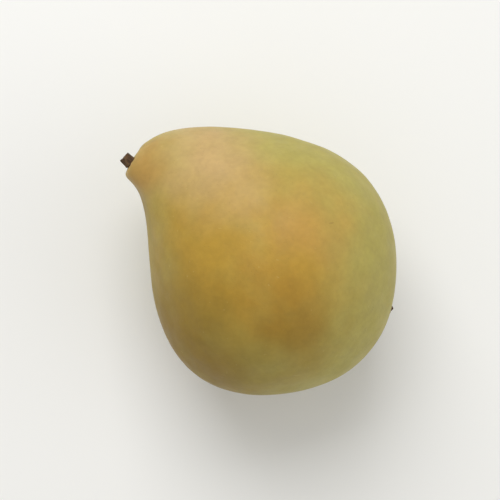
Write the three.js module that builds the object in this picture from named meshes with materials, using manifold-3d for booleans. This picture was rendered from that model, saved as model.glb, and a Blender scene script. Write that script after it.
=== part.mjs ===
// A ripe guava as picked, lying on its side: a pear-shaped fruit with a woody stem stub at the
// neck end and a dried calyx crown at the blossom end. Millimetres, +Z up. The origin is the
// centre of the small flat spot that the fruit rests on, and the stem points towards -X.
import * as THREE from "three";
import { mergeVertices } from "three/addons/utils/BufferGeometryUtils.js";
import Module from "manifold-3d";

const wasm = await Module();
wasm.setup();

// Fruit. Its own axis runs along +X from the stem pole at the origin to the blossom pole. A
// point of the skin has a latitude, 0 at the stem pole and pi at the blossom pole, and a turn
// round the axis that starts at +Y and passes +Z.
const FRUIT_LENGTH = 78.3;
const MIDDLE_RADIUS = 33.3; // halfway along
const BLUNTNESS = 0.81; // power of the sine: below 1, both ends are blunt
const EGG = { taper: -0.231, pinch: -0.294, neck: 0.161 }; // weights of the cosine's powers
const UNDERNECK = {
  // a hollow on the -Y side of the neck, which bends the fruit
  depth: 0.55, // share of the radius that is missing where it is deepest
  at: 7.5, // distance of that place from the stem pole
  narrowness: 2, // power: a larger one keeps the hollow closer to -Y
};
const SWELLS = [
  // broad uneven swellings: height, waves round the fruit, turn, waves from end to end
  { height: 0.3, around: 2, turn: 0.9, along: 2 },
  { height: 0.25, around: 3, turn: 2.1, along: 1 },
  { height: 0.18, around: 5, turn: 4.0, along: 2 },
];
const AROUND = 72;
const ALONG = 52;

// Stem stub: a cut stalk, a little square in section, standing in a plain hole in the neck.
const STEM_RADIUS = 1.45;
const STEM_FLARE = 0.35; // extra radius where it leaves the fruit
const STEM_SQUARENESS = 0.06;
const STEM_LENGTH = 5.6; // from the bottom of its hole to the cut
const STEM_SUNK = 3; // part of that length below the dimple's floor
const STEM_SIDEWAYS = -2.5; // off the fruit's axis, along Y
const STEM_LEAN = 0.05; // turned towards +Y from the fruit's axis
const STEM_DIMPLE = { depth: 0.9, radius: 3.6, lip: 0.2 };
const STEM_SIDES = 16;
const STEM_STEPS = 6; // along it

// Calyx: a disc in a shallow basin, with a rim of dried sepals round the stubs of the stamens
// and the style. It sits askew, below the blossom pole and to its +Y side.
const CALYX_AT = { latitude: 2.57, turn: 5.53 };
const CALYX_BASIN = { depth: 1.2, radius: 7, lip: 0.4 };
const DISC_RADIUS = 5.2;
const DISC_ROOT = 1.5; // depth below the basin's floor
const DISC_RISE = 0.25; // how far the disc's middle is domed
const DISC_SIDES = 30;
const SEPAL_COUNT = 5;
const SEPAL = {
  length: 5.2,
  width: 6.2,
  thickness: 0.8,
  root: 3.1, // distance of the root from the disc's middle
  sunk: 0.5, // depth of the root in the disc
  rise: 1.15, // slope of the midrib at the root, in radians
  droop: 1.2, // how much that slope falls by the tip
  curl: 0.5, // how far the edges turn up at the tip
  thinning: 0.3, // share of the thickness that is gone by the tip
  turn: 0.35, // of the first one round the disc
};
const SEPAL_OUTLINE = { start: 0.36, span: 0.58, power: 0.8 }; // part of a sine's half wave
const SEPAL_CELLS = { across: 6, along: 7 };
const SEPAL_UNEVENNESS = { length: 0.16, rise: 0.12, turn: 0.12 };
const STAMEN_COUNT = 20;
const STAMEN = {
  length: 2.4,
  radius: 0.36,
  inner: 1, // distance of the first one from the disc's middle
  reach: 3.1, // and of the last one
  share: 0.75, // of the length that a middling one has
  unevenness: 0.35,
  lean: 0.2, // outwards, of the first one
  spread: 0.5, // extra lean of the last one
  sides: 3,
};
const STYLE = { length: 2.8, radius: 0.6, taper: 0.6, sides: 7 };
const ROOTS_SUNK = 0.55; // depth in the disc of the stamens' and the style's roots
const GOLDEN_ANGLE = Math.PI * (3 - Math.sqrt(5));
const WANDER = { sepal: 2.4, start: 0.8, rise: 3.1, stamen: 5.3 }; // radians from one to the next

// Rest: the fruit lies with its blossom end a little lower, and is flat where it touches.
const TIP = 0.06; // turn about Y
const FLAT_DEPTH = 0.8;

const CLEARANCE = 0.3; // between pieces that meet
const LIP = { at: 1.5, width: 0.4 }; // of a round hollow, in its radii
const CUT_ABOVE = 10; // how far a cutting plug stands out of the skin
const GROUND = { width: 300, depth: 80 };
const SLOPE_STEP = 0.02; // radians each way, to find which way the skin faces
const SAME_POINT = 1e-4;
const TOUCHING = 1e-3;

const SKIN = new THREE.MeshStandardMaterial({ color: 0xb99e52, roughness: 0.45, metalness: 0 });
const WOOD = new THREE.MeshStandardMaterial({ color: 0x503c24, roughness: 0.85, metalness: 0 });
const HUSK = new THREE.MeshStandardMaterial({ color: 0x583e32, roughness: 0.9, metalness: 0 });

// A geometry reduced to its points, with the doubles along seams merged.
function welded(geometry) {
  geometry.deleteAttribute("normal");
  geometry.deleteAttribute("uv");
  return mergeVertices(geometry, SAME_POINT);
}

// Moves every point of a geometry to where the function puts it.
function reshaped(geometry, place) {
  const points = geometry.attributes.position;
  const point = new THREE.Vector3();
  for (let i = 0; i < points.count; i += 1) {
    place(point.fromBufferAttribute(points, i));
    points.setXYZ(i, point.x, point.y, point.z);
  }
  return geometry;
}

function solidOf(geometry) {
  return new wasm.Manifold(
    new wasm.Mesh({
      numProp: 3,
      vertProperties: geometry.attributes.position.array,
      triVerts: new Uint32Array(geometry.index.array),
    }),
  );
}

function meshOf(name, solid, material) {
  const { vertProperties, triVerts } = solid.getMesh();
  const geometry = new THREE.BufferGeometry();
  geometry.setAttribute("position", new THREE.BufferAttribute(vertProperties, 3));
  geometry.setIndex(new THREE.BufferAttribute(triVerts, 1));
  geometry.computeVertexNormals();
  const mesh = new THREE.Mesh(geometry, material);
  mesh.name = name;
  return mesh;
}

// The bare skin, before the hollows at its ends. The radius is a power of the latitude's sine
// times a cubic in its cosine, less a share that grows from nothing at the stem pole, is
// greatest under the neck and dies away towards the girth.
function skinPoint(latitude, turn) {
  const c = Math.cos(latitude);
  const s = Math.sin(latitude);
  const x = (FRUIT_LENGTH / 2) * (1 - c);
  const egg = 1 + EGG.taper * c + EGG.pinch * c ** 2 + EGG.neck * c ** 3;
  const side = ((1 - Math.cos(turn)) / 2) ** UNDERNECK.narrowness;
  const missing = UNDERNECK.depth * side * (x / UNDERNECK.at) * Math.exp(1 - x / UNDERNECK.at);
  let radius = MIDDLE_RADIUS * s ** BLUNTNESS * egg * (1 - missing);
  for (const { height, around, turn: start, along } of SWELLS) {
    radius += height * s ** 2 * Math.cos(around * turn + start) * Math.sin(along * latitude + start);
  }
  return new THREE.Vector3(x, radius * Math.cos(turn), radius * Math.sin(turn));
}

// A frame on the skin for what is set into it: +Z points out of the fruit and +X towards the
// fruit's upper side.
function seatOf(point, out) {
  const up = new THREE.Vector3(0, 0, 1).projectOnPlane(out).normalize();
  const side = new THREE.Vector3().crossVectors(out, up);
  return new THREE.Matrix4().makeBasis(up, side, out).setPosition(point);
}

function calyxSeat() {
  const { latitude, turn } = CALYX_AT;
  const along = skinPoint(latitude + SLOPE_STEP, turn).sub(skinPoint(latitude - SLOPE_STEP, turn));
  const round = skinPoint(latitude, turn + SLOPE_STEP).sub(skinPoint(latitude, turn - SLOPE_STEP));
  const out = new THREE.Vector3().crossVectors(round, along).normalize();
  return seatOf(skinPoint(latitude, turn), out);
}

function stemSeat() {
  const out = new THREE.Vector3(-Math.cos(STEM_LEAN), Math.sin(STEM_LEAN), 0);
  return seatOf(new THREE.Vector3(0, STEM_SIDEWAYS, 0), out);
}

// Depth of a round hollow at a distance from its middle, with a low lip round it.
function hollowDepth({ depth, radius, lip }, distance) {
  const ratio = distance / radius;
  return depth * Math.exp(-(ratio ** 2)) - lip * Math.exp(-(((ratio - LIP.at) / LIP.width) ** 2));
}

function skinGeometry(seats) {
  const ball = welded(new THREE.SphereGeometry(1, AROUND, ALONG)).rotateZ(Math.PI / 2);
  return reshaped(ball, (point) => {
    const latitude = Math.acos(THREE.MathUtils.clamp(-point.x, -1, 1));
    const turn = Math.atan2(point.z, point.y);
    point.copy(skinPoint(latitude, turn));
    const start = point.clone();
    for (const { seat, hollow } of seats) {
      const middle = new THREE.Vector3().setFromMatrixPosition(seat);
      const out = new THREE.Vector3().setFromMatrixColumn(seat, 2);
      point.addScaledVector(out, -hollowDepth(hollow, start.distanceTo(middle)));
    }
  });
}

// A round plug along the seat's +Z, from one height to the other.
function plug(radius, low, high, sides) {
  const drum = new THREE.CylinderGeometry(radius, radius, high - low, sides);
  return welded(drum.rotateX(Math.PI / 2).translate(0, 0, (low + high) / 2));
}

// What is cut from the fruit to take a round piece of that radius, rooted at that depth.
function socket(radius, depth, sides) {
  return plug(radius + CLEARANCE, -depth - CLEARANCE, CUT_ABOVE, sides);
}

function stemGeometry() {
  const floor = -STEM_DIMPLE.depth - STEM_SUNK;
  const rod = new THREE.CylinderGeometry(1, 1, STEM_LENGTH, STEM_SIDES, STEM_STEPS);
  const stub = welded(rod.rotateX(Math.PI / 2).translate(0, 0, STEM_LENGTH / 2));
  return reshaped(stub, (point) => {
    const flare = point.z > STEM_SUNK ? STEM_FLARE * Math.exp(STEM_SUNK - point.z) : 0;
    const square = 1 + STEM_SQUARENESS * Math.cos(4 * Math.atan2(point.y, point.x));
    const radius = STEM_RADIUS * square + flare;
    point.set(point.x * radius, point.y * radius, point.z + floor);
  });
}

// A dried sepal: a pointed blade that rises from the disc and droops outwards. The slope of
// its midrib falls evenly from the root to the tip, and its edges curl up.
function sepalGeometry(index) {
  const wave = Math.sin(WANDER.sepal * index + WANDER.start);
  const length = SEPAL.length * (1 + SEPAL_UNEVENNESS.length * wave);
  const rise = SEPAL.rise + SEPAL_UNEVENNESS.rise * Math.cos(WANDER.rise * index);
  const { start, span, power } = SEPAL_OUTLINE;
  const slab = welded(new THREE.BoxGeometry(1, 1, 1, SEPAL_CELLS.across, SEPAL_CELLS.along, 1));
  reshaped(slab, (point) => {
    const t = point.y + 0.5;
    const across = -2 * point.x;
    const slope = rise - SEPAL.droop * t;
    const reach = (length * (Math.sin(rise) - Math.sin(slope))) / SEPAL.droop;
    const lift = (length * (Math.cos(slope) - Math.cos(rise))) / SEPAL.droop;
    const halfWidth = (SEPAL.width / 2) * Math.sin(Math.PI * (start + span * t)) ** power;
    const curl = SEPAL.curl * across ** 2 * t;
    const thick = SEPAL.thickness * point.z * (1 - SEPAL.thinning * t);
    point.set(
      SEPAL.root + reach - thick * Math.sin(slope),
      halfWidth * across,
      lift + curl + thick * Math.cos(slope) - SEPAL.sunk,
    );
  });
  const share = index / SEPAL_COUNT;
  return slab.rotateZ(2 * Math.PI * share + SEPAL.turn + SEPAL_UNEVENNESS.turn * wave);
}

// A stub of a stamen, leaning out, placed on a spiral of golden angles.
function stamenGeometry(index) {
  const out = (index + 0.5) / STAMEN_COUNT;
  const wave = Math.sin(WANDER.stamen * index);
  const length = STAMEN.length * (STAMEN.share + STAMEN.unevenness * wave);
  const spike = welded(new THREE.ConeGeometry(STAMEN.radius, length, STAMEN.sides));
  spike.rotateX(Math.PI / 2).translate(0, 0, length / 2 - ROOTS_SUNK);
  spike.rotateY(STAMEN.lean + STAMEN.spread * out);
  spike.translate(STAMEN.inner + (STAMEN.reach - STAMEN.inner) * Math.sqrt(out), 0, 0);
  return spike.rotateZ(index * GOLDEN_ANGLE);
}

function styleGeometry() {
  const { length, radius, taper, sides } = STYLE;
  const stub = welded(new THREE.CylinderGeometry(radius * taper, radius, length, sides));
  return stub.rotateX(Math.PI / 2).translate(0, 0, length / 2 - ROOTS_SUNK);
}

// The disc, domed by raising the middle of its upper face.
function discGeometry() {
  return reshaped(plug(DISC_RADIUS, -DISC_ROOT, 0, DISC_SIDES), (point) => {
    const inMiddle = Math.hypot(point.x, point.y) < DISC_RADIUS / 2;
    if (inMiddle && point.z > -DISC_ROOT / 2) point.z += DISC_RISE;
  });
}

function calyxGeometries() {
  const pieces = [discGeometry(), styleGeometry()];
  for (let i = 0; i < SEPAL_COUNT; i += 1) pieces.push(sepalGeometry(i));
  for (let i = 0; i < STAMEN_COUNT; i += 1) pieces.push(stamenGeometry(i));
  return pieces.map((piece) => piece.translate(0, 0, -CALYX_BASIN.depth));
}

// A block whose top is the surface that the fruit rests on, at the given height.
function groundBlock(height) {
  const ground = new THREE.BoxGeometry(GROUND.width, GROUND.width, GROUND.depth);
  return solidOf(welded(ground.translate(0, 0, height - GROUND.depth / 2)));
}

// The turn that lays the fruit down, and the shift that puts the middle of its flat spot at
// the origin. The spot's middle is the middle of the box round the points that the cut leaves.
function settle(skin) {
  const turned = new THREE.Matrix4().makeRotationY(TIP);
  const laid = skin.clone().applyMatrix4(turned);
  laid.computeBoundingBox();
  const height = laid.boundingBox.min.z + FLAT_DEPTH;
  const { vertProperties } = solidOf(laid).subtract(groundBlock(height)).getMesh();
  const spot = new THREE.Box3();
  for (let i = 0; i < vertProperties.length; i += 3) {
    const corner = new THREE.Vector3().fromArray(vertProperties, i);
    if (corner.z < height + TOUCHING) spot.expandByPoint(corner);
  }
  const middle = spot.getCenter(new THREE.Vector3());
  return turned.premultiply(new THREE.Matrix4().makeTranslation(-middle.x, -middle.y, -height));
}

const stemAt = stemSeat();
const calyxAt = calyxSeat();
const skin = skinGeometry([
  { seat: stemAt, hollow: STEM_DIMPLE },
  { seat: calyxAt, hollow: CALYX_BASIN },
]);
const stemHole = socket(
  STEM_RADIUS * (1 + STEM_SQUARENESS),
  STEM_DIMPLE.depth + STEM_SUNK,
  STEM_SIDES * 2,
);
const calyxPocket = socket(DISC_RADIUS, CALYX_BASIN.depth + DISC_ROOT, DISC_SIDES);

const rest = settle(skin);
const fruit = solidOf(skin.applyMatrix4(rest))
  .subtract(solidOf(stemHole.applyMatrix4(stemAt).applyMatrix4(rest)))
  .subtract(solidOf(calyxPocket.applyMatrix4(calyxAt).applyMatrix4(rest)))
  .subtract(groundBlock(0));
const stem = solidOf(stemGeometry().applyMatrix4(stemAt).applyMatrix4(rest));
const calyx = calyxGeometries()
  .map((piece) => solidOf(piece.applyMatrix4(calyxAt).applyMatrix4(rest)))
  .reduce((whole, piece) => whole.add(piece));

const guava = new THREE.Group();
guava.add(meshOf("fruit", fruit, SKIN));
guava.add(meshOf("stem", stem, WOOD));
guava.add(meshOf("calyx", calyx, HUSK));

export default guava;
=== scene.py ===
import bpy
import numpy as np
from mathutils import Matrix, Vector


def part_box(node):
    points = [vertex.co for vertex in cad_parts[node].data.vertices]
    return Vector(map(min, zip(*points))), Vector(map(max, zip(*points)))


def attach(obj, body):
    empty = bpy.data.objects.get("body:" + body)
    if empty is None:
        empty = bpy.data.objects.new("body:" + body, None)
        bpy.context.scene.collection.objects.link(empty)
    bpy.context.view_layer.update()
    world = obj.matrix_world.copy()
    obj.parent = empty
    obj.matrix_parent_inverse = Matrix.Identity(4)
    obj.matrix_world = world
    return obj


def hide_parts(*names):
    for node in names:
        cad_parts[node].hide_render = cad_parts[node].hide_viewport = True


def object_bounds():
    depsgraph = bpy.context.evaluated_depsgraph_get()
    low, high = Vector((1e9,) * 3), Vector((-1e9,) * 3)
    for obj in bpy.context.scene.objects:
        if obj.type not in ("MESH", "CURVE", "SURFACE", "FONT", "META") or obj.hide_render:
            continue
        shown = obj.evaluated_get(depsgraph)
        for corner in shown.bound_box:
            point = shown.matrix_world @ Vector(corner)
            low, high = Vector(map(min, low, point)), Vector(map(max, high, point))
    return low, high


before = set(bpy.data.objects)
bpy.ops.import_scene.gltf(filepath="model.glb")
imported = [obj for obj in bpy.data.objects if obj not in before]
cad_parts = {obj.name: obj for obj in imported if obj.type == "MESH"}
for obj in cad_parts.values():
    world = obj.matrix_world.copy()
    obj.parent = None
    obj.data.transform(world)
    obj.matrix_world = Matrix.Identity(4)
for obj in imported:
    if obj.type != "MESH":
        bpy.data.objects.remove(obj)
cad_low, cad_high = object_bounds()

# Fruit: a ripe guava, one grown piece of flesh under a thin waxy skin. It is egg-shaped, its
# neck bends to one side, and it lies on a small dent. The skin sinks and puckers round the
# stem at the neck and round the calyx at the blossom end. Shapes are in mm, +X from stem end.
MM = 0.001
FRUIT_LENGTH = 78.3
MIDDLE_RADIUS = 33.3  # halfway along
BLUNTNESS = 0.81  # power of the sine: below 1, both ends are blunt
TAPER, PINCH, NECK = -0.231, -0.294, 0.161  # weights of the cosine's powers
UNDERNECK_DEPTH, UNDERNECK_AT = 0.55, 7.5  # share of the radius missing, and where along X
TIP = 0.06  # radians about Y by which it lies tipped
# Low swellings: height, waves round the fruit, start in radians, waves from end to end.
SWELLS = ((0.3, 2, 0.9, 2), (0.25, 3, 2.1, 1), (0.18, 5, 4.0, 2))
# Unevenness of the skin: depth, length of a wave, seed.
SKIN_WAVES = ((0.09, 13, 3), (0.018, 4.2, 5))
WAVE_COUNT = 14  # sines in each layer of unevenness
WAVE_RATES = 0.7, 1.4  # the slowest and the quickest of them, against the layer's own
SKIN_STATIONS, SKIN_STEPS = 240, 360
STEM_SIDEWAYS, STEM_LEAN = -2.5, 0.05
CALYX_LATITUDE, CALYX_TURN = 2.57, 5.53
SLOPE_STEP = 0.02  # radians each way, to find which way the skin faces
STEM_DIMPLE = {"depth": 0.9, "radius": 3.6, "lip": 0.2, "folds": 7, "pucker": 0.22}
CALYX_BASIN = {"depth": 1.2, "radius": 7.0, "lip": 0.4, "folds": 11, "pucker": 0.3}
LIP_AT, LIP_WIDTH = 1.5, 0.4  # in the hollow's radii
PUCKER_WIDTH = 0.42  # of the ring of folds, which are deepest at one radius
FOLD_DRIFT = 1.3, 0.8  # radians by which folds stray, in waves twice and three times round


def all_round(steps):
    """Even angles round one full turn."""
    return np.linspace(0, 2 * np.pi, steps, endpoint=False)


def bell(value, middle, width):
    """The exponential of minus the square of the distance from the middle over the width."""
    return np.exp(-(((value - middle) / width) ** 2))


def bare_skin(latitude, turn):
    """The skin before its ends are hollowed. Along the fruit x is half its length times one
    less the cosine of the latitude. The radius is a power of the sine times a cubic in the
    cosine, less a share that is greatest under the neck, plus three low waves."""
    c, s = np.cos(latitude), np.sin(latitude)
    x = FRUIT_LENGTH / 2 * (1 - c)
    side = ((1 - np.cos(turn)) / 2) ** 2
    missing = UNDERNECK_DEPTH * side * x / UNDERNECK_AT * np.exp(1 - x / UNDERNECK_AT)
    radius = MIDDLE_RADIUS * s**BLUNTNESS * (1 + TAPER * c + PINCH * c**2 + NECK * c**3)
    radius = radius * (1 - missing)
    for height, around, start, along in SWELLS:
        wave = np.cos(around * turn + start) * np.sin(along * latitude + start)
        radius = radius + height * s**2 * wave
    return np.stack([x + 0 * turn, radius * np.cos(turn), radius * np.sin(turn)], axis=-1)


def seat(middle, out):
    """A place on the skin as its middle and three axes in rows: up along the skin, sideways,
    and straight out."""
    up = np.array([0.0, 0.0, 1.0]) - out[2] * out
    up = up / np.linalg.norm(up)
    return middle, np.stack([up, np.cross(out, up), out])


def calyx_seat():
    """The seat of the calyx, facing along the cross product of the skin's two slopes, which
    are taken from its neighbours round the fruit and along it."""
    latitudes = CALYX_LATITUDE + SLOPE_STEP * np.array([0, 0, 0, 1, -1])
    turns = CALYX_TURN + SLOPE_STEP * np.array([0, 1, -1, 0, 0])
    middle, onward, back, further, nearer = bare_skin(latitudes, turns)
    out = np.cross(onward - back, further - nearer)
    return seat(middle, out / np.linalg.norm(out))


def waves(points, length, seed):
    """A smooth uneven value between -1 and 1: the hyperbolic tangent of a sum of sines that
    run in random directions, with wavelengths about the given length."""
    rng = np.random.default_rng(seed)
    ways = rng.normal(size=(3, WAVE_COUNT))
    ways = ways / np.linalg.norm(ways, axis=0) * rng.uniform(*WAVE_RATES, WAVE_COUNT)
    phases = 2 * np.pi / length * (points @ ways) + rng.uniform(0, 2 * np.pi, WAVE_COUNT)
    return np.tanh(np.sin(phases).sum(axis=-1) / np.sqrt(WAVE_COUNT))


def uneven(points, layers):
    """An uneven depth: the sum over the layers of each one's depth times one plus its waves."""
    return sum(depth * (1 + waves(points, length, seed)) for depth, length, seed in layers)


def hollow(points, place, depth, radius, lip, folds, pucker):
    """How far each point sinks at a seat: a bell-shaped hollow, less a low ring round it, plus
    folds that run outwards and are deepest near the hollow's edge."""
    middle, axes = place
    local = (points - middle) @ axes.T
    ratio = np.linalg.norm(points - middle, axis=-1) / radius
    around = np.arctan2(local[..., 1], local[..., 0])
    drift = FOLD_DRIFT[0] * np.sin(2 * around) + FOLD_DRIFT[1] * np.sin(3 * around + 1)
    fold = 0.5 - 0.5 * np.cos(folds * around + drift)
    sunk = depth * bell(ratio, 0, 1) - lip * bell(ratio, LIP_AT, LIP_WIDTH)
    return sunk + pucker * fold * bell(ratio, 1, PUCKER_WIDTH)


def tubes_mesh(name, tubes):
    """One mesh from closed tubes given as an array of tube, station, step round and xyz in mm.
    Quads join the stations, triangles close each end at the middle of its ring, and all faces
    are turned over if the volume inside comes out negative."""
    count, stations, steps, _ = tubes.shape
    each = stations * steps + 2
    middles = tubes[:, [0, -1]].mean(axis=2)
    points = np.concatenate([tubes.reshape(count, -1, 3), middles], axis=1).reshape(-1, 3)
    here = np.arange(stations * steps).reshape(stations, steps)
    beside = np.roll(here, -1, axis=1)
    quads = np.stack([here[:-1], here[1:], beside[1:], beside[:-1]], axis=-1).reshape(-1, 4)
    start = np.stack([here[0], beside[0], np.full(steps, each - 2)], axis=-1)
    end = np.stack([beside[-1], here[-1], np.full(steps, each - 1)], axis=-1)
    shift = each * np.arange(count)[:, None, None]
    quads = (shift + quads).reshape(-1, 4)
    ends = (shift + np.concatenate([start, end])).reshape(-1, 3)
    corners = points[np.concatenate([quads[:, :3], quads[:, [0, 2, 3]], ends])]
    volume = (corners[:, 0] * np.cross(corners[:, 1], corners[:, 2])).sum()
    if volume < 0:
        quads, ends = quads[:, ::-1], ends[:, ::-1]
    mesh = bpy.data.meshes.new(name)
    mesh.from_pydata((points * MM).tolist(), [], quads.tolist() + ends.tolist())
    mesh.polygons.foreach_set("use_smooth", np.ones(len(mesh.polygons), dtype=bool))
    piece = bpy.data.objects.new(name, mesh)
    bpy.context.scene.collection.objects.link(piece)
    return piece


def mm_box(node):
    """A CAD node's lowest and highest corner in mm."""
    low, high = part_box(node)
    return np.array(low) / MM, np.array(high) / MM


def tipped(points):
    """Turned about Y by the angle at which the fruit lies."""
    x, y, z = np.moveaxis(points, -1, 0)
    c, s = np.cos(TIP), np.sin(TIP)
    return np.stack([x * c + z * s, y, z * c - x * s], axis=-1)


stem_out = np.array([-np.cos(STEM_LEAN), np.sin(STEM_LEAN), 0.0])
stem_place = seat(np.array([0.0, STEM_SIDEWAYS, 0.0]), stem_out)
calyx_place = calyx_seat()
latitudes = np.linspace(0, np.pi, SKIN_STATIONS + 2)[1:-1, None]
turns = all_round(SKIN_STEPS)[None, :]
bare = bare_skin(latitudes, turns)
outward = np.stack(np.broadcast_arrays(0 * latitudes, np.cos(turns), np.sin(turns)), axis=-1)
skin_points = bare - outward * (uneven(bare, SKIN_WAVES) * np.sin(latitudes))[..., None]
for seated, shape in ((stem_place, STEM_DIMPLE), (calyx_place, CALYX_BASIN)):
    skin_points = skin_points - seated[1][2] * hollow(bare, seated, **shape)[..., None]

fruit_low, fruit_high = mm_box("fruit")
lying = tipped(skin_points)
lying_low, lying_high = lying.min(axis=(0, 1)), lying.max(axis=(0, 1))
lay_down = (fruit_low + fruit_high - lying_low - lying_high) / 2
lay_down[2] = fruit_high[2] - lying_high[2]
fruit = tubes_mesh("guava_skin", np.clip(lying + lay_down, fruit_low, fruit_high)[None])

MIX_SHARE, MIX_FIRST, MIX_SECOND, MIX_RESULT = 0, 6, 7, 2  # a Mix node's sockets for colours


def linear(red, green, blue):
    """A colour given in 0 to 255 as the linear RGBA that a shader reads, by the sRGB curve: a
    straight line near black, and a power of 2.4 above it."""
    share = np.array([red, green, blue]) / 255
    return (*np.where(share <= 0.04045, share / 12.92, ((share + 0.055) / 1.055) ** 2.4), 1.0)


def add(tree, kind, inputs=None, **settings):
    """One shader node. An input gets a constant, or the socket that it is linked from."""
    node = tree.nodes.new(kind)
    for name, value in settings.items():
        setattr(node, name, value)
    for name, value in (inputs or {}).items():
        if isinstance(value, bpy.types.NodeSocket):
            tree.links.new(value, node.inputs[name])
        else:
            node.inputs[name].default_value = value
    return node


def blend(tree, share, first, second, kind="MIX"):
    """The first colour changed into the second by the share."""
    sent = {MIX_SHARE: share, MIX_FIRST: first, MIX_SECOND: second}
    node = add(tree, "ShaderNodeMix", sent, data_type="RGBA", blend_type=kind)
    return node.outputs[MIX_RESULT]


def math(tree, operation, first, second=0.0):
    """One sum on two values, held between 0 and 1."""
    sent = {0: first, 1: second}
    return add(tree, "ShaderNodeMath", sent, operation=operation, use_clamp=True).outputs[0]


def shaded(tree, colour, value):
    """The colour made darker or lighter by a value near 1."""
    grey = add(tree, "ShaderNodeCombineColor", {0: value, 1: value, 2: value}).outputs[0]
    return blend(tree, 1.0, colour, grey, "MULTIPLY")


def vector(tree, operation, first, second):
    """One sum on two vectors."""
    return add(tree, "ShaderNodeVectorMath", {0: first, 1: second}, operation=operation).outputs[0]


def ramp(tree, value, low, high, start=0.0, end=1.0):
    """A smooth step of the value: start up to low, and end from high on."""
    sent = {"Value": value, "From Min": low, "From Max": high, "To Min": start, "To Max": end}
    return add(tree, "ShaderNodeMapRange", sent, interpolation_type="SMOOTHSTEP").outputs["Result"]


def noise(tree, place, width, detail=2.0, roughness=0.5):
    """Noise around 0.5, with features about as wide as the given width in metres."""
    sent = {"Vector": place, "Scale": 1 / width, "Detail": detail, "Roughness": roughness}
    return add(tree, "ShaderNodeTexNoise", sent).outputs["Fac"]


def patch(tree, place, middle, reach, core):
    """1 near the middle of an oval patch, falling smoothly from the core, a share of its
    reach along X, Y, Z, to 0 at the whole of it."""
    off = vector(tree, "SUBTRACT", place, Vector(middle) * MM)
    scaled = vector(tree, "DIVIDE", off, Vector(reach) * MM)
    distance = add(tree, "ShaderNodeVectorMath", {0: scaled}, operation="LENGTH").outputs["Value"]
    return ramp(tree, distance, core, 1.0, 1.0, 0.0)


def dots(tree, place, spacing, radius, share, full=0.55):
    """Small round dots, at most one to a cell of the given spacing. The share of cells that
    have one is set by each cell's own random number. A dot is full up to a part of its
    radius, and fades from there to its edge."""
    cells = add(tree, "ShaderNodeTexVoronoi", {"Vector": place, "Scale": 1 / (spacing * MM)})
    size = radius / spacing
    round_dot = ramp(tree, cells.outputs["Distance"], size * full, size, 1.0, 0.0)
    drawn = add(tree, "ShaderNodeSeparateColor", {0: cells.outputs["Color"]}).outputs[0]
    kept = math(tree, "LESS_THAN", drawn, share)
    return math(tree, "MULTIPLY", round_dot, kept)


GREEN = linear(168, 156, 79)
GOLD = linear(174, 139, 49)
BLUSH = linear(186, 136, 66)
AMBER = linear(164, 120, 39)
SHOULDER = linear(190, 159, 105)
BY_STEM = linear(177, 138, 68)
# Olive under the neck, darkened as painted shade.
UNDERNECK_OLIVE_AND_SHADE = linear(150, 122, 42)
# Olive skin tone, darkened further as painted shade.
OLIVE_AND_SHADE = linear(138, 108, 27)
ROUND_CALYX = linear(126, 108, 44)
PALE_DOT = linear(204, 188, 112)
BROWN_DOT = linear(120, 88, 48)
PORE = linear(120, 104, 44)
NECK_SCAR = linear(84, 84, 44)

# Each area of colour: its middle and its reach along X, Y, Z in mm, its core, share and colour.
AREAS = (
    ((-8, -4, 60), (38, 31, 60), 0.3, 1.0, GOLD),
    ((10, -12, 6), (34, 26, 26), 0.2, 0.45, GOLD),
    ((0, 14, 62), (19, 15, 30), 0.05, 0.5, BLUSH),
    ((6, -7, 62), (20, 13, 34), 0.1, 0.5, AMBER),
    # Under the neck: partly the skin's olive tone, partly painted shade.
    ((-36, -8, 28), (17, 15, 26), 0.2, 0.85, UNDERNECK_OLIVE_AND_SHADE),
    ((-31, 10, 50), (26, 21, 36), 0.15, 0.95, SHOULDER),
    # Olive on the -Y side, partly the skin's own tone and partly painted shade.
    ((-4, -28, 38), (38, 25, 48), 0.2, 0.9, OLIVE_AND_SHADE),
    # A smaller olive area towards the blossom end on the -Y side, also partly painted shade.
    ((14, -9, 58), (17, 14, 22), 0.15, 0.5, OLIVE_AND_SHADE),
    ((-40, -1, 43), (12, 11, 15), 0.25, 0.9, BY_STEM),
    (tipped(calyx_place[0]) + lay_down, (11, 11, 11), 0.45, 0.55, ROUND_CALYX),
)
EDGE_SCALE, EDGE_DRIFT = 60, 0.016  # their edges wander: waves to the metre, and metres
# Clouds of green: width in metres, where they start and are full in the noise, and share.
CLOUD_WIDTH, CLOUD_START, CLOUD_FULL, CLOUD_SHARE = 0.013, 0.45, 0.75, 0.22
# Mottle: width in metres, darkest and lightest.
MOTTLES = ((0.0045, 0.95, 1.04), (0.0013, 0.965, 1.03))
NOISE_LOW, NOISE_HIGH = 0.3, 0.7  # part of the noise's range that it mostly fills
# Dots: spacing and radius in mm, share of the cells that have one, and how strong they are.
PORES, PORE_STRENGTH = (1.15, 0.17, 0.85), 0.2
PALE_DOTS, PALE_STRENGTH = (2.6, 0.26, 0.75), 0.17
BROWN_DOTS, BROWN_STRENGTH = (8.5, 0.4, 0.3), 0.3
# The scar under the stem and the fleck beside it: middle and reach in mm, and core.
SCAR = (-45.5, -2.4, 34), (4.2, 4.2, 4.2), 0.35
FLECK = (-44.6, 3.0, 38.8), (1.5, 1.3, 1.9), 0.3
FLECK_BREAKS = 0.0011, 0.4, 0.56  # width in metres of the noise that breaks it, and its ramp
SCAR_STRENGTH = 0.75
FINE_DETAIL = 3.0  # octaves of the noise in the mottle, the grain and dried tissue
GRAIN_WIDTH, GRAIN_ROUGHNESS, PORE_DEPTH = 0.0006, 0.6, 0.7
SATIN_WIDTH, SATIN_SMOOTH, SATIN_ROUGH = 0.006, 0.48, 0.60  # width, and least and most rough

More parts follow.
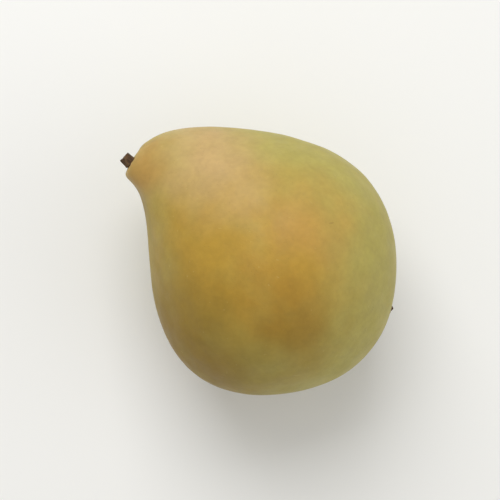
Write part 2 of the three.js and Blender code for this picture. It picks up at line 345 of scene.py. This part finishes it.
skin_look = bpy.data.materials.new("guava_skin")
skin_look.use_nodes = True
tree = skin_look.node_tree
place = add(tree, "ShaderNodeTexCoord").outputs["Object"]
sent = {"Vector": place, "Scale": EDGE_SCALE, "Detail": 2}
drift = add(tree, "ShaderNodeTexNoise", sent).outputs["Color"]
drift = vector(tree, "SUBTRACT", drift, (0.5, 0.5, 0.5))
drift = vector(tree, "MULTIPLY", drift, (EDGE_DRIFT, EDGE_DRIFT, EDGE_DRIFT))
wandering = vector(tree, "ADD", place, drift)

colour = GREEN
for middle, reach, core, share, shade in AREAS:
    area = patch(tree, wandering, middle, reach, core)
    colour = blend(tree, math(tree, "MULTIPLY", area, share), colour, shade)
cloud = noise(tree, place, CLOUD_WIDTH)
cloud = ramp(tree, cloud, CLOUD_START, CLOUD_FULL, 0.0, CLOUD_SHARE)
colour = blend(tree, cloud, colour, GREEN)
for width, darkest, lightest in MOTTLES:
    mottle = noise(tree, place, width, FINE_DETAIL)
    colour = shaded(tree, colour, ramp(tree, mottle, NOISE_LOW, NOISE_HIGH, darkest, lightest))
pores = dots(tree, place, *PORES)
pale = dots(tree, wandering, *PALE_DOTS)
brown = dots(tree, wandering, *BROWN_DOTS)
scar = patch(tree, wandering, *SCAR)
fleck_width, fleck_none, fleck_full = FLECK_BREAKS
broken = ramp(tree, noise(tree, place, fleck_width), fleck_none, fleck_full)
fleck = math(tree, "MULTIPLY", patch(tree, place, *FLECK), broken)
scarred = math(tree, "MAXIMUM", scar, fleck)
for mask, strength, shade in (
    (pores, PORE_STRENGTH, PORE),
    (pale, PALE_STRENGTH, PALE_DOT),
    (brown, BROWN_STRENGTH, BROWN_DOT),
    (scarred, SCAR_STRENGTH, NECK_SCAR),
):
    colour = blend(tree, math(tree, "MULTIPLY", mask, strength), colour, shade)

grain = noise(tree, place, GRAIN_WIDTH, FINE_DETAIL, GRAIN_ROUGHNESS)
pits = math(tree, "MAXIMUM", pale, math(tree, "MULTIPLY", pores, PORE_DEPTH))
relief = add(tree, "ShaderNodeMath", {0: grain, 1: pits}, operation="SUBTRACT").outputs[0]
bump = add(tree, "ShaderNodeBump", {"Height": relief, "Strength": 0.4, "Distance": 0.00009})
satin = noise(tree, place, SATIN_WIDTH)
satin = ramp(tree, satin, NOISE_LOW, NOISE_HIGH, SATIN_SMOOTH, SATIN_ROUGH)
skin_shader = tree.nodes["Principled BSDF"]
tree.links.new(colour, skin_shader.inputs["Base Color"])
tree.links.new(satin, skin_shader.inputs["Roughness"])
tree.links.new(bump.outputs["Normal"], skin_shader.inputs["Normal"])
skin_shader.inputs["Specular IOR Level"].default_value = 0.32
skin_shader.inputs["Subsurface Weight"].default_value = 0.12
skin_shader.inputs["Subsurface Radius"].default_value = (1.0, 0.55, 0.2)
skin_shader.inputs["Subsurface Scale"].default_value = 0.0025
fruit.data.materials.append(skin_look)
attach(fruit, "root")
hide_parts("fruit")

# Stem stub: the last few millimetres of the woody stalk, cut square across when the fruit was
# picked. It is a little four-sided, ridged by its fibres, and grows out of the neck's dimple.
STEM_RADIUS, STEM_FLARE, STEM_SQUARENESS = 1.45, 0.35, 0.06
STEM_LENGTH, STEM_SUNK = 5.6, 3.0
STEM_STEPS, SIDE_RINGS, CUT_RINGS = 96, 44, 16
CUT_OUTER, CUT_INNER = 0.985, 0.05  # radii of the first and last ring on the cut, as shares
# Grooves: depth as a share of the radius, length of a wave round the stub, seed.
GROOVES = ((0.035, 0.55, 11), (0.02, 0.22, 12))
GROOVE_DRAW = 0.12  # how much of the height they see, so that they run up the stub
# Unevenness of the cut: depth, length of a wave, seed.
CUT_WAVES = ((0.07, 0.9, 13),)
CUT_DISH, CUT_STEP = 0.1, 0.09  # how far the cut's middle and its whole face are lowered
CUT_POWER = 8  # of the height: the lowering fades down the sides
FIBRE_STRETCH = (0.18, 1.0, 1.0)  # draws the streaks out along X
WORN_WIDTH, WORN_SHARE = 0.0016, 0.6  # of weathered places: width in metres, and strength
STREAK_RANGE, WORN_RANGE = (0.3, 0.74), (0.48, 0.7)  # of the noise: where each starts and is full
# Dried tissue: its dark colour, the colour of its streaks and that of its weathered places.
STEM_COLOURS = linear(52, 34, 18), linear(98, 68, 38), linear(118, 92, 60)


def placed(local, place):
    """Points given in a seat's own axes, moved to the seat and laid down with the fruit."""
    middle, axes = place
    return tipped(middle + local @ axes) + lay_down


def spun(along, sideways, height, turn):
    """Points given outwards, sideways and up, turned about their own upright axis."""
    x = along * np.cos(turn) - sideways * np.sin(turn)
    y = along * np.sin(turn) + sideways * np.cos(turn)
    return np.stack(np.broadcast_arrays(x, y, height), axis=-1)


def stem_points():
    """The stub as rings: up its length at the stalk's radius, then inwards over the cut. The
    radius is a rounded square plus a flare that dies away upwards, cut by narrow grooves. The
    cut is dished and uneven, and lowers the top of the sides by a high power of the height."""
    over_cut = np.linspace(CUT_OUTER, CUT_INNER, CUT_RINGS)
    share = np.concatenate([np.ones(SIDE_RINGS), over_cut])[:, None]
    up = np.linspace(0, STEM_LENGTH, SIDE_RINGS)
    height = np.concatenate([up, np.full(CUT_RINGS, STEM_LENGTH)])[:, None]
    angle = all_round(STEM_STEPS)[None, :]
    flare = STEM_FLARE * np.exp(-np.maximum(height - STEM_SUNK, 0)) * (height > STEM_SUNK)
    square = 1 + STEM_SQUARENESS * np.cos(4 * angle)
    grooves = uneven(spun(1, 0, GROOVE_DRAW * height, angle), GROOVES)
    radius = (STEM_RADIUS * square * (1 - grooves) + flare) * share
    rough = uneven(spun(radius, 0, 0.0, angle), CUT_WAVES)
    dished = CUT_DISH * (1 - share**2) + CUT_STEP * (share < 1)
    top = height - (rough + dished) * (height / STEM_LENGTH) ** CUT_POWER
    return spun(radius, 0, top - STEM_DIMPLE["depth"] - STEM_SUNK, angle)


stem_low, stem_high = mm_box("stem")
stem_tube = np.clip(placed(stem_points(), stem_place), stem_low, stem_high)
stem = tubes_mesh("stem_stub", stem_tube[None])


def dried_fibre():
    """A node group for dried plant tissue. Streaks of noise drawn out along one axis give a
    streak mask and a height, and coarser noise gives a mask of the greyer, weathered places."""
    group = bpy.data.node_groups.new("dried_fibre", "ShaderNodeTree")
    for name, kind in (("Place", "NodeSocketVector"), ("Streaks Per Metre", "NodeSocketFloat")):
        group.interface.new_socket(name, in_out="INPUT", socket_type=kind)
    for name in ("Streaks", "Weathered", "Height"):
        group.interface.new_socket(name, in_out="OUTPUT", socket_type="NodeSocketFloat")
    given = group.nodes.new("NodeGroupInput").outputs
    drawn_out = vector(group, "MULTIPLY", given["Place"], FIBRE_STRETCH)
    sent = {"Vector": drawn_out, "Scale": given["Streaks Per Metre"], "Detail": 4}
    fine = add(group, "ShaderNodeTexNoise", sent).outputs["Fac"]
    worn = noise(group, given["Place"], WORN_WIDTH, FINE_DETAIL)
    result = group.nodes.new("NodeGroupOutput").inputs
    group.links.new(ramp(group, fine, *STREAK_RANGE), result["Streaks"])
    group.links.new(ramp(group, worn, *WORN_RANGE), result["Weathered"])
    group.links.new(fine, result["Height"])
    return group


FIBRE = dried_fibre()


def dried_look(name, streak_width, colours, roughness, bump_distance):
    """A matt dried material: dark tissue with lighter streaks and greyer weathered places."""
    look = bpy.data.materials.new(name)
    look.use_nodes = True
    nodes = look.node_tree
    where = add(nodes, "ShaderNodeTexCoord").outputs["Object"]
    fibre = add(nodes, "ShaderNodeGroup", node_tree=FIBRE)
    nodes.links.new(where, fibre.inputs["Place"])
    fibre.inputs["Streaks Per Metre"].default_value = 1 / streak_width
    dark, light, weathered = colours
    worn = math(nodes, "MULTIPLY", fibre.outputs["Weathered"], WORN_SHARE)
    paint = blend(nodes, fibre.outputs["Streaks"], dark, light)
    paint = blend(nodes, worn, paint, weathered)
    sent = {"Height": fibre.outputs["Height"], "Strength": 0.6, "Distance": bump_distance}
    raised = add(nodes, "ShaderNodeBump", sent)
    shader = nodes.nodes["Principled BSDF"]
    nodes.links.new(paint, shader.inputs["Base Color"])
    nodes.links.new(raised.outputs["Normal"], shader.inputs["Normal"])
    shader.inputs["Roughness"].default_value = roughness
    return look


stem_look = dried_look("stem_wood", 0.0004, STEM_COLOURS, roughness=0.82, bump_distance=0.0002)
stem.data.materials.append(stem_look)
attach(stem, "root")
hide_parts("stem")

# Calyx disc: the dried floor of the flower, a thin woody disc that closes the basin at the
# blossom end. It is domed, wrinkled outwards, and raised in a ring where the stamens stood.
DISC_RADIUS, DISC_ROOT, DISC_RISE = 5.2, 1.5, 0.25
DISC_STEPS, UNDER_RINGS, FACE_RINGS = 120, 10, 44
UNDER_SPAN, FACE_SPAN = (0.05, 0.97), (1.0, 0.03)  # their first and last, in disc radii
WRINKLES, WRINKLE_DEPTH = 23, 0.14
WRINKLE_DRIFT, WRINKLE_TWIST = 2, 5  # radians by which they stray, round the disc and outwards
WELT_HEIGHT, WELT_AT, WELT_WIDTH = 0.3, 0.58, 0.1  # the ring's place and width as shares
RIM_DROP, RIM_POWER = 0.1, 8  # how far the rim is rounded down, and how close to its edge
HUSK_COLOURS = linear(64, 42, 34), linear(106, 76, 59), linear(132, 108, 86)


def disc_points():
    """The disc as rings: out under it, up its edge, and in over its domed face, which has
    wrinkles that run outwards and a low bell-shaped ring."""
    under, over = np.linspace(*UNDER_SPAN, UNDER_RINGS), np.linspace(*FACE_SPAN, FACE_RINGS)
    share = np.concatenate([under, over])[:, None]
    angle = all_round(DISC_STEPS)[None, :]
    drift = WRINKLE_DRIFT * np.sin(3 * angle) + WRINKLE_TWIST * share
    wrinkle = 0.5 + 0.5 * np.cos(WRINKLES * angle + drift)
    welt = WELT_HEIGHT * bell(share, WELT_AT, WELT_WIDTH)
    lowered = WRINKLE_DEPTH * wrinkle * share + RIM_DROP * share**RIM_POWER
    face = DISC_RISE * (1 - share**2) + welt - lowered
    height = np.where(np.arange(share.size)[:, None] < UNDER_RINGS, -DISC_ROOT, face)
    return spun(DISC_RADIUS * share, 0, height, angle)


calyx_low, calyx_high = mm_box("calyx")


def in_basin(local):
    """Points in the calyx's own axes, put on the basin's floor and kept within the calyx."""
    local = local - np.array([0, 0, CALYX_BASIN["depth"]])
    return np.clip(placed(local, calyx_place), calyx_low, calyx_high)


husk_look = dried_look("dried_husk", 0.0005, HUSK_COLOURS, roughness=0.88, bump_distance=0.00015)
disc = tubes_mesh("calyx_disc", in_basin(disc_points())[None])
disc.data.materials.append(husk_look)
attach(disc, "root")
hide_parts("calyx")

# Sepals: the five lobes of the flower's outer cup, dried to brown papery blades. They grow from
# the disc's rim, rise and droop outwards, and their edges are ragged and curled.
SEPAL_COUNT, SEPAL_STATIONS, SEPAL_STEPS = 5, 34, 56
SEPAL_LENGTH, SEPAL_WIDTH, SEPAL_THICKNESS = 5.2, 6.2, 0.42
SEPAL_ROOT, SEPAL_SINK, SEPAL_RISE, SEPAL_DROOP = 3.1, 0.5, 1.15, 1.2
SEPAL_TURN = 0.35  # of the first one round the disc
SEPAL_UNEVENNESS = {"length": 0.16, "rise": 0.12, "turn": 0.12}
SEPAL_WANDER, RISE_WANDER = (2.4, 0.8), 3.1  # radians from one to the next, and at the start
OUTLINE_START, OUTLINE_SPAN, OUTLINE_POWER = 0.36, 0.58, 0.8  # part of a sine's half wave
FACE_POWER = 0.6  # below 1, the section is flatter than an oval
SEPAL_THINNING = 0.45  # share of the thickness that is gone by the tip
# Ragged edges: depth as a share of the width, radians along the blade and between blades.
RAGS = ((0.07, 19, 4), (0.05, 41, 1))
CURL, CREASE = 0.5, 0.16  # how far the edges turn up, and depth of the creases, at the tip
CREASE_RATES = 5, 2, 6  # radians across the blade, between blades and along the blade
SEPAL_RIBS, RIB_HEIGHT, RIB_FADE = 9, 0.06, 0.5


def sepal_points():
    """Five blades. The midrib's slope falls evenly from root to tip, the half width follows
    part of a sine, and the section is a flat oval with ribs, ragged at its edges."""
    index = np.arange(SEPAL_COUNT)[:, None, None]
    t = np.linspace(0, 1, SEPAL_STATIONS)[None, :, None]
    loop = all_round(SEPAL_STEPS)[None, None, :]
    wave = np.sin(SEPAL_WANDER[0] * index + SEPAL_WANDER[1])
    length = SEPAL_LENGTH * (1 + SEPAL_UNEVENNESS["length"] * wave)
    rise = SEPAL_RISE + SEPAL_UNEVENNESS["rise"] * np.cos(RISE_WANDER * index)
    across, face = np.cos(loop), np.sign(np.sin(loop)) * np.abs(np.sin(loop)) ** FACE_POWER
    slope = rise - SEPAL_DROOP * t
    reach = length * (np.sin(rise) - np.sin(slope)) / SEPAL_DROOP
    lift = length * (np.cos(slope) - np.cos(rise)) / SEPAL_DROOP
    ragged = 1 + sum(depth * np.sin(up * t + shift * index) * t for depth, up, shift in RAGS)
    outline = np.sin(np.pi * (OUTLINE_START + OUTLINE_SPAN * t)) ** OUTLINE_POWER
    over, between, up = CREASE_RATES
    crease = CREASE * np.sin(over * across + between * index + up * t)
    rib = RIB_HEIGHT * np.cos(SEPAL_RIBS * across) * (1 - RIB_FADE * t)
    thick = SEPAL_THICKNESS / 2 * face * (1 - SEPAL_THINNING * t) + rib
    along = SEPAL_ROOT + reach - thick * np.sin(slope)
    sideways = SEPAL_WIDTH / 2 * outline * ragged * across
    height = lift + (CURL * across**2 + crease) * t + thick * np.cos(slope) - SEPAL_SINK
    turn = 2 * np.pi * index / SEPAL_COUNT + SEPAL_TURN + SEPAL_UNEVENNESS["turn"] * wave
    return spun(along, sideways, height, turn)


sepals = tubes_mesh("calyx_sepals", in_basin(sepal_points()))
sepals.data.materials.append(husk_look)
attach(sepals, "root")
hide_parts("calyx")

# Stamens: the dried threads that are left of the flower, standing in a ring on the disc. They
# lean outwards and bend over, and some still have their small dark heads.
STAMEN_COUNT, STAMEN_STATIONS, STAMEN_STEPS = 76, 14, 7
STAMEN_LENGTH, STAMEN_RADIUS, STAMEN_TAPER = 2.5, 0.13, 0.35
STAMEN_SEED = 21
STAMEN_SHORTEST, STAMEN_GAIN = 0.55, 0.55  # of the length: the least share, and what is drawn
STAMEN_INNER, STAMEN_REACH = 1.3, 2.0  # distance of the first from the middle, and to the last
STAMEN_LEAN, STAMEN_GIVE, STAMEN_SWING, STAMEN_STOOP = 0.12, 0.5, 0.7, 0.2
STAMEN_SINK = 0.3
HEADLESS = 0.45  # share of the threads that have lost their heads
HEAD_RADIUS, HEAD_AT, HEAD_WIDTH = 0.11, 0.94, 0.06
THREAD_COLOURS = linear(70, 44, 30), linear(128, 90, 58), linear(60, 38, 28)


def stamen_points():
    """Threads on a spiral of golden angles. Each rises straight, leans out with the square of
    the way up and swings to one side; its radius narrows, and swells at the tip if it has a
    head."""
    rng = np.random.default_rng(STAMEN_SEED)
    index = np.arange(STAMEN_COUNT)[:, None, None]
    t = np.linspace(0, 1, STAMEN_STATIONS)[None, :, None]
    loop = all_round(STAMEN_STEPS)[None, None, :]
    longer, leaning, swinging, headed = rng.uniform(0, 1, (4, STAMEN_COUNT, 1, 1))
    length = STAMEN_LENGTH * (STAMEN_SHORTEST + STAMEN_GAIN * longer)
    out = STAMEN_INNER + STAMEN_REACH * np.sqrt((index + 0.5) / STAMEN_COUNT)
    lean = length * (STAMEN_LEAN + STAMEN_GIVE * leaning) * t**2
    swing = length * (swinging - 0.5) * STAMEN_SWING * t**2
    head = HEAD_RADIUS * (headed > HEADLESS) * bell(t, HEAD_AT, HEAD_WIDTH)
    radius = STAMEN_RADIUS * (1 - STAMEN_TAPER * t) + head
    along = out + lean + radius * np.cos(loop)
    sideways = swing + radius * np.sin(loop)
    height = length * t * (1 - STAMEN_STOOP * leaning * t) - STAMEN_SINK
    return spun(along, sideways, height, index * np.pi * (3 - np.sqrt(5)))


thread_look = dried_look(
    "dried_threads", 0.0003, THREAD_COLOURS, roughness=0.85, bump_distance=0.00008
)
stamens = tubes_mesh("calyx_stamens", in_basin(stamen_points()))
stamens.data.materials.append(thread_look)
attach(stamens, "root")
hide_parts("calyx")

# Style: the stub in the middle of the flower, a short dried stalk with a blunt, slightly
# swollen end. It stands on the top of the disc's dome.
STYLE_LENGTH, STYLE_RADIUS, STYLE_TAPER = 2.8, 0.6, 0.42
STYLE_STATIONS, STYLE_STEPS = 22, 32
STYLE_CAP = 0.85, 0.62, 0.4, 0.2, 0.05  # radii of the rings that close it, as shares
STYLE_SINK, STYLE_CROWN, STYLE_BEND = 0.35, 0.12, 0.3
SWELLING, SWELLING_AT, SWELLING_WIDTH = 0.12, 0.95, 0.12
STYLE_RIDGES, RIDGE_HEIGHT, RIDGE_TWIST = 6, 0.07, 1.5


def style_points():
    """A tapering stalk with a swollen tip that closes inwards, ridged along its length and
    bent a little to one side with the square of the way up."""
    t = np.concatenate([np.linspace(0, 1, STYLE_STATIONS), np.ones(len(STYLE_CAP))])[:, None]
    share = np.concatenate([np.ones(STYLE_STATIONS), STYLE_CAP])[:, None]
    angle = all_round(STYLE_STEPS)[None, :]
    ridge = 1 + RIDGE_HEIGHT * np.cos(STYLE_RIDGES * angle + RIDGE_TWIST * t)
    swelling = SWELLING * bell(t, SWELLING_AT, SWELLING_WIDTH)
    radius = (STYLE_RADIUS * (1 - STYLE_TAPER * t) + swelling) * ridge * share
    height = STYLE_LENGTH * t - STYLE_SINK + STYLE_CROWN * (1 - share)
    bent = np.stack([STYLE_BEND * t**2, 0 * t, height], axis=-1)
    return bent + spun(radius, 0, 0.0, angle)


style = tubes_mesh("calyx_style", in_basin(style_points())[None])
style.data.materials.append(thread_look)
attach(style, "root")
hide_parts("calyx")

# Floor: a plain pale sheet under the fruit, far wider than the picture. It is matt, so the
# fruit has a soft shadow on it and no reflection.
FLOOR_HALF = 3.0
floor_mesh = bpy.data.meshes.new("floor")
floor_corners = np.array([(-1, -1, 0), (1, -1, 0), (1, 1, 0), (-1, 1, 0)]) * FLOOR_HALF
floor_mesh.from_pydata(floor_corners.tolist(), [], [(0, 1, 2, 3)])
floor = bpy.data.objects.new("floor", floor_mesh)
bpy.context.scene.collection.objects.link(floor)
floor_look = bpy.data.materials.new("floor")
floor_look.use_nodes = True
floor_shader = floor_look.node_tree.nodes["Principled BSDF"]
floor_shader.inputs["Base Color"].default_value = (0.86, 0.86, 0.84, 1.0)
floor_shader.inputs["Roughness"].default_value = 0.9
floor.data.materials.append(floor_look)

# Light: a pale room and two broad soft lamps. The main one is high up beyond the fruit's upper
# left as the picture shows it, and a weak one fills the other side.
PICTURE_RIGHT = Vector((0.766, 0.643, 0.0))
PICTURE_UP = Vector((-0.643, 0.766, 0.0))
LAMPS_FACE = Vector((0, 0, 0.03))
MAIN_AT = PICTURE_UP * 0.5 - PICTURE_RIGHT * 0.15 + Vector((0, 0, 0.7))
FILL_AT = PICTURE_RIGHT * 0.8 - PICTURE_UP * 0.15 + Vector((0, 0, 0.45))
world = bpy.data.worlds.new("room")
world.use_nodes = True
world.node_tree.nodes["Background"].inputs["Color"].default_value = (1.0, 0.99, 0.97, 1.0)
world.node_tree.nodes["Background"].inputs["Strength"].default_value = 0.55
bpy.context.scene.world = world
bpy.context.scene.view_settings.view_transform = "Standard"


def lamp(name, where, size, power):
    """A square soft lamp that faces the fruit, with its size in metres and power in watts."""
    light = bpy.data.lights.new(name, "AREA")
    light.size = size
    light.energy = power
    stand = bpy.data.objects.new(name, light)
    stand.location = where
    ahead = LAMPS_FACE - where
    stand.rotation_euler = ahead.to_track_quat("-Z", "Y").to_euler()
    bpy.context.scene.collection.objects.link(stand)


lamp("main_lamp", MAIN_AT, size=0.6, power=4.8)
lamp("fill_lamp", FILL_AT, size=0.8, power=1.4)

# Camera: almost straight above the fruit with a long lens, turned so that the stem is at the
# upper left and the fruit's own axis runs down to the right at 40 degrees.
LENS, SENSOR = 150.0, 36.0
FRUIT_SHARE = 0.626  # of the picture's width that the fruit's length along X would fill
VIEW_TILT = 4.5  # degrees from straight above
LEAN_TO = Vector((-0.35, -0.94, 0.0)).normalized()
low, high = Vector(cad_low), Vector(cad_high)
aim = (low + high) / 2
tilt = np.radians(VIEW_TILT)
back = LEAN_TO * np.sin(tilt) + Vector((0, 0, 1)) * np.cos(tilt)
up = (PICTURE_UP - back * PICTURE_UP.dot(back)).normalized()
right = up.cross(back)
distance = (high.x - low.x) / FRUIT_SHARE * LENS / SENSOR
camera = bpy.data.objects.new("camera", bpy.data.cameras.new("camera"))
camera.data.lens = LENS
camera.data.sensor_width = SENSOR
facing = Matrix((right, up, back)).transposed().to_4x4()
camera.matrix_world = Matrix.Translation(aim + back * distance) @ facing
bpy.context.scene.collection.objects.link(camera)
bpy.context.scene.camera = camera
